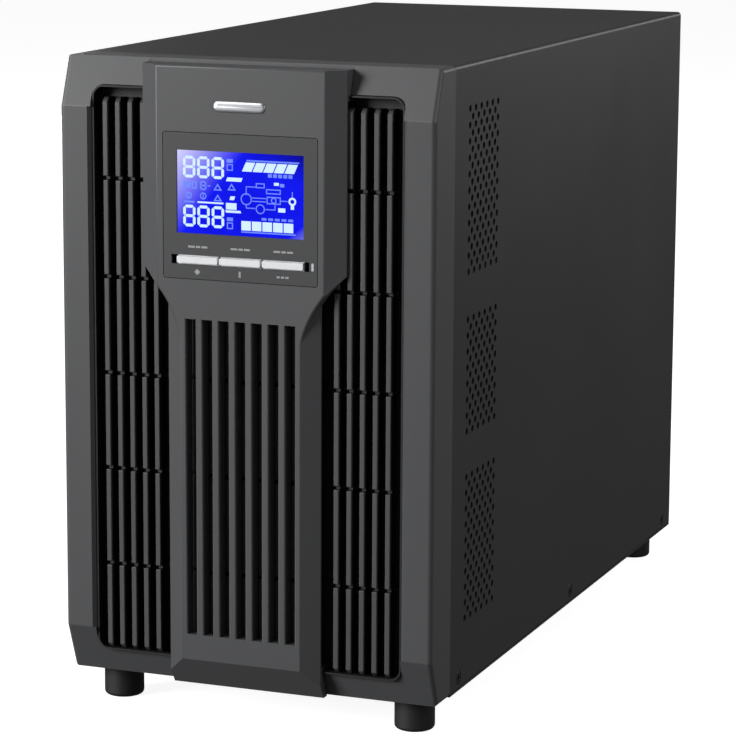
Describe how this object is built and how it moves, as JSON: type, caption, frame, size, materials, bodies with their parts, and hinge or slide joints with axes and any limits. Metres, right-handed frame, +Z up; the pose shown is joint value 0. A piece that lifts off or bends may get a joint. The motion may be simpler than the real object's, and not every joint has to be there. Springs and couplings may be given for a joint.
{
  "type": "uninterruptible power supply",
  "caption": "Tower uninterruptible power supply: ventilated bezel with raised display panel, perforated steel cover, sealed batteries, power electronics, fans and rear sockets.",
  "frame": {"origin": "on the floor under the middle of the object's box", "axes": "+X to the right seen from the front, front faces -Y, +Z up"},
  "size_m": [0.19, 0.421, 0.318],
  "materials": {
    "cover_paint": "satin fine-textured dark grey powder coat",
    "zinc_steel": "zinc-plated sheet",
    "black_screws": "blackened steel",
    "zinc_screws": "zinc-plated steel",
    "foot_rubber": "matt moulded rubber",
    "bezel_plastic": "dark grey moulded plastic, fine spark texture",
    "grille_black": "black moulded plastic",
    "lcd_glass": "backlit blue liquid-crystal display",
    "backlight_white": "white diffuser",
    "light_lens": "frosted light pipe",
    "circuit_board": "green solder mask",
    "ribbon_grey": "grey ribbon cable",
    "battery_case": "dark grey moulded battery case",
    "contact_brass": "plated brass",
    "lead_red": "red insulation",
    "lead_black": "black insulation",
    "heatsink_aluminium": "extruded aluminium",
    "capacitor_sleeve": "dark blue sleeve",
    "inductor_enamel": "yellow coated toroid",
    "core_steel": "laminated core with winding",
    "relay_case": "black relay case",
    "fan_black": "black moulded plastic",
    "guard_chrome": "bright plated wire",
    "socket_black": "black moulded plastic",
    "reset_white": "off-white plastic",
    "port_steel": "nickel-plated shell",
    "stop_green": "green terminal plastic",
    "button_silver": "satin silver-painted plastic"
  },
  "bodies": {
    "chassis": {"base_tray": "cover_paint", "wrap_cover": "cover_paint", "rear_panel": "cover_paint", "slot_cover": "cover_paint", "battery_port": "cover_paint", "front_plate": "zinc_steel", "battery_tray": "zinc_steel", "battery_shelf": "zinc_steel", "electronics_deck": "zinc_steel", "side_screws": "black_screws", "rear_screws": "black_screws", "foot_screws": "zinc_screws", "fan_screws": "zinc_screws", "slot_screws": "zinc_screws", "feet": "foot_rubber", "bezel_frame": "bezel_plastic", "centre_panel": "bezel_plastic", "fin_grille": "bezel_plastic", "display_insert": "bezel_plastic", "grille_backing": "grille_black", "lcd_panel": "lcd_glass", "lcd_backlight": "backlight_white", "status_light": "light_lens", "display_board": "circuit_board", "main_board": "circuit_board", "filter_board": "circuit_board", "comm_board": "circuit_board", "tact_switches": "socket_black", "display_ribbon": "ribbon_grey", "batteries_lower": "battery_case", "batteries_upper": "battery_case", "battery_terminals": "contact_brass", "battery_lead_red": "lead_red", "battery_lead_black": "lead_black", "board_standoffs": "contact_brass", "heatsinks": "heatsink_aluminium", "bus_capacitors": "capacitor_sleeve", "inductors": "inductor_enamel", "transformer": "core_steel", "relays": "relay_case", "fan_frame_left": "fan_black", "fan_frame_right": "fan_black", "fan_guards": "guard_chrome", "power_inlet": "socket_black", "inlet_pins": "contact_brass", "outlet_block_left": "socket_black", "outlet_block_right": "socket_black", "large_outlet": "socket_black", "breaker_body": "socket_black", "serial_port": "port_steel", "usb_port": "port_steel", "ground_stud": "contact_brass", "surge_jacks": "socket_black", "stop_connector": "stop_green"},
    "left_button": {"button_left": "button_silver"},
    "middle_button": {"button_middle": "button_silver"},
    "right_button": {"button_right": "button_silver"},
    "left_fan": {"fan_rotor_left": "fan_black"},
    "right_fan": {"fan_rotor_right": "fan_black"},
    "reset_button": {"breaker_button": "reset_white"}
  },
  "joints": [
    {"name": "left_button_press", "type": "slide", "parent": "chassis", "child": "left_button", "axis": [0, 1, 0], "range_m": [0, 0.001], "stiffness_N_per_m": 800, "springref_m": -0.0004},
    {"name": "middle_button_press", "type": "slide", "parent": "chassis", "child": "middle_button", "axis": [0, 1, 0], "range_m": [0, 0.001], "stiffness_N_per_m": 800, "springref_m": -0.0004},
    {"name": "right_button_press", "type": "slide", "parent": "chassis", "child": "right_button", "axis": [0, 1, 0], "range_m": [0, 0.001], "stiffness_N_per_m": 800, "springref_m": -0.0004},
    {"name": "left_fan_spin", "type": "hinge", "parent": "chassis", "child": "left_fan", "pos_m": [-0.045, 0.188, 0.268], "axis": [0, 1, 0], "continuous": true},
    {"name": "right_fan_spin", "type": "hinge", "parent": "chassis", "child": "right_fan", "pos_m": [0.045, 0.188, 0.268], "axis": [0, 1, 0], "continuous": true},
    {"name": "reset_button_pop", "type": "slide", "parent": "chassis", "child": "reset_button", "axis": [0, 1, 0], "range_m": [0, 0.003]}
  ]
}
